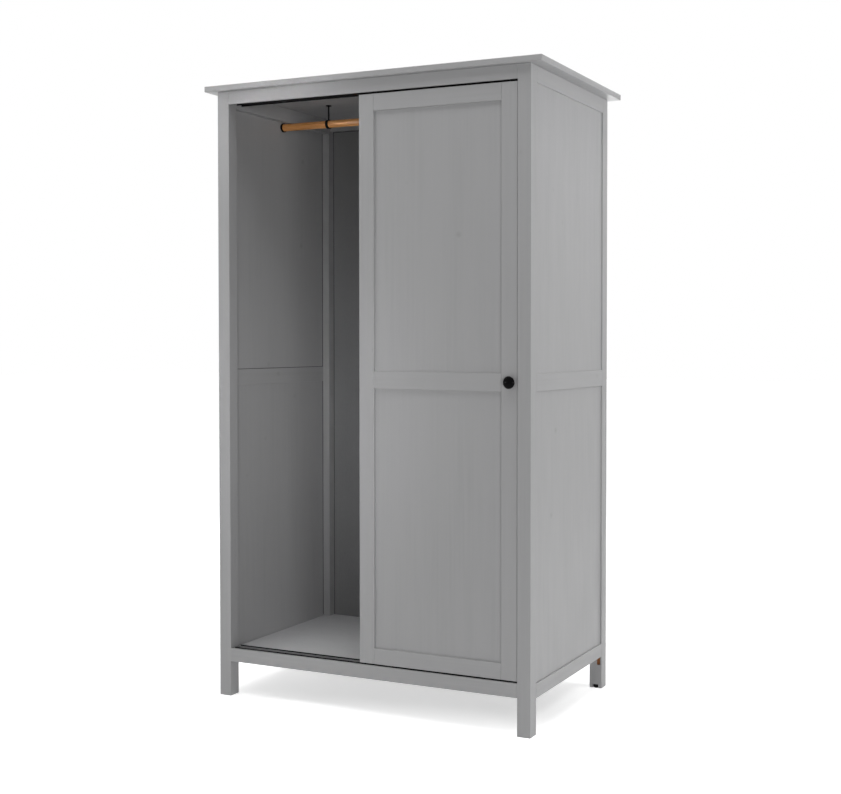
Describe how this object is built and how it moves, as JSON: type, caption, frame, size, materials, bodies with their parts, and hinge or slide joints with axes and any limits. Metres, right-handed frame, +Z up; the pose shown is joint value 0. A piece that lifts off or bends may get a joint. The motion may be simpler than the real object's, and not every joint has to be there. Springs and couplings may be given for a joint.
{
  "type": "sliding door wardrobe",
  "caption": "Tall post-and-rail wardrobe in grey painted wood, with panelled doors that slide one behind the other on rollers, a hanging rod inside and an overhanging top.",
  "frame": {"origin": "on the floor under the middle of the top panel", "axes": "+X to the right as seen from the front, +Y to the back, +Z up"},
  "size_m": [1.2, 0.616, 1.97],
  "materials": {
    "paint": "semi-matte grey paint over pine",
    "board": "matte grey board",
    "rod_wood": "clear lacquered wood",
    "track_plastic": "black plastic",
    "knob_gloss": "glossy black",
    "roller_plastic": "dark grey plastic"
  },
  "bodies": {
    "carcass": {"post_front_left": "paint", "post_front_right": "paint", "post_rear_left": "paint", "post_rear_right": "paint", "left_side_top_rail": "paint", "left_side_middle_rail": "paint", "left_side_bottom_rail": "paint", "left_side_upper_panel": "paint", "left_side_lower_panel": "paint", "right_side_top_rail": "paint", "right_side_middle_rail": "paint", "right_side_bottom_rail": "paint", "right_side_upper_panel": "paint", "right_side_lower_panel": "paint", "front_top_rail": "paint", "front_bottom_rail": "paint", "back_top_rail": "paint", "back_bottom_rail": "paint", "back_board_left": "board", "back_board_right": "board", "back_joining_strip": "board", "top_panel": "paint", "bottom_panel": "board", "upper_track": "track_plastic", "lower_track": "track_plastic", "clothes_rod": "rod_wood", "rod_socket_left": "track_plastic", "rod_socket_right": "track_plastic", "rod_hanger_left": "track_plastic", "rod_hanger_right": "track_plastic"},
    "front_door": {"front_door_left_stile": "paint", "front_door_right_stile": "paint", "front_door_top_rail": "paint", "front_door_middle_rail": "paint", "front_door_bottom_rail": "paint", "front_door_upper_panel": "paint", "front_door_lower_panel": "paint", "front_door_knob": "knob_gloss", "front_door_guide_left": "track_plastic", "front_door_guide_right": "track_plastic"},
    "rear_door": {"rear_door_left_stile": "paint", "rear_door_right_stile": "paint", "rear_door_top_rail": "paint", "rear_door_middle_rail": "paint", "rear_door_bottom_rail": "paint", "rear_door_upper_panel": "paint", "rear_door_lower_panel": "paint", "rear_door_cup_pull": "track_plastic", "rear_door_guide_left": "track_plastic", "rear_door_guide_right": "track_plastic"},
    "front_roller_left": {"front_door_roller_left": "roller_plastic"},
    "front_roller_right": {"front_door_roller_right": "roller_plastic"},
    "rear_roller_left": {"rear_door_roller_left": "roller_plastic"},
    "rear_roller_right": {"rear_door_roller_right": "roller_plastic"},
    "foot_front_left": {"levelling_foot_front_left": "track_plastic"},
    "foot_front_right": {"levelling_foot_front_right": "track_plastic"},
    "foot_rear_left": {"levelling_foot_rear_left": "track_plastic"},
    "foot_rear_right": {"levelling_foot_rear_right": "track_plastic"}
  },
  "joints": [
    {"name": "front_door_slide", "type": "slide", "parent": "carcass", "child": "front_door", "axis": [-1, 0, 0], "range_m": [0, 0.488]},
    {"name": "rear_door_slide", "type": "slide", "parent": "carcass", "child": "rear_door", "axis": [-1, 0, 0], "range_m": [0, 0.488]},
    {"name": "front_roller_left_spin", "type": "hinge", "parent": "front_door", "child": "front_roller_left", "pos_m": [0.071, -0.277, 0.1663], "axis": [0, 1, 0], "continuous": true},
    {"name": "front_roller_right_spin", "type": "hinge", "parent": "front_door", "child": "front_roller_right", "pos_m": [0.417, -0.277, 0.1663], "axis": [0, 1, 0], "continuous": true},
    {"name": "rear_roller_left_spin", "type": "hinge", "parent": "rear_door", "child": "rear_roller_left", "pos_m": [0.071, -0.249, 0.1663], "axis": [0, 1, 0], "continuous": true},
    {"name": "rear_roller_right_spin", "type": "hinge", "parent": "rear_door", "child": "rear_roller_right", "pos_m": [0.417, -0.249, 0.1663], "axis": [0, 1, 0], "continuous": true},
    {"name": "foot_front_left_turn", "type": "hinge", "parent": "carcass", "child": "foot_front_left", "pos_m": [-0.53825, -0.2637, 0], "axis": [0, 0, 1], "continuous": true},
    {"name": "foot_front_right_turn", "type": "hinge", "parent": "carcass", "child": "foot_front_right", "pos_m": [0.53825, -0.2637, 0], "axis": [0, 0, 1], "continuous": true},
    {"name": "foot_rear_left_turn", "type": "hinge", "parent": "carcass", "child": "foot_rear_left", "pos_m": [-0.53825, 0.2617, 0], "axis": [0, 0, 1], "continuous": true},
    {"name": "foot_rear_right_turn", "type": "hinge", "parent": "carcass", "child": "foot_rear_right", "pos_m": [0.53825, 0.2617, 0], "axis": [0, 0, 1], "continuous": true}
  ],
  "couplings": [
    {"joint": "front_roller_left_spin", "follows": "front_door_slide", "rad_per_m": -71.429},
    {"joint": "front_roller_right_spin", "follows": "front_door_slide", "rad_per_m": -71.429},
    {"joint": "rear_roller_left_spin", "follows": "rear_door_slide", "rad_per_m": -71.429},
    {"joint": "rear_roller_right_spin", "follows": "rear_door_slide", "rad_per_m": -71.429}
  ]
}
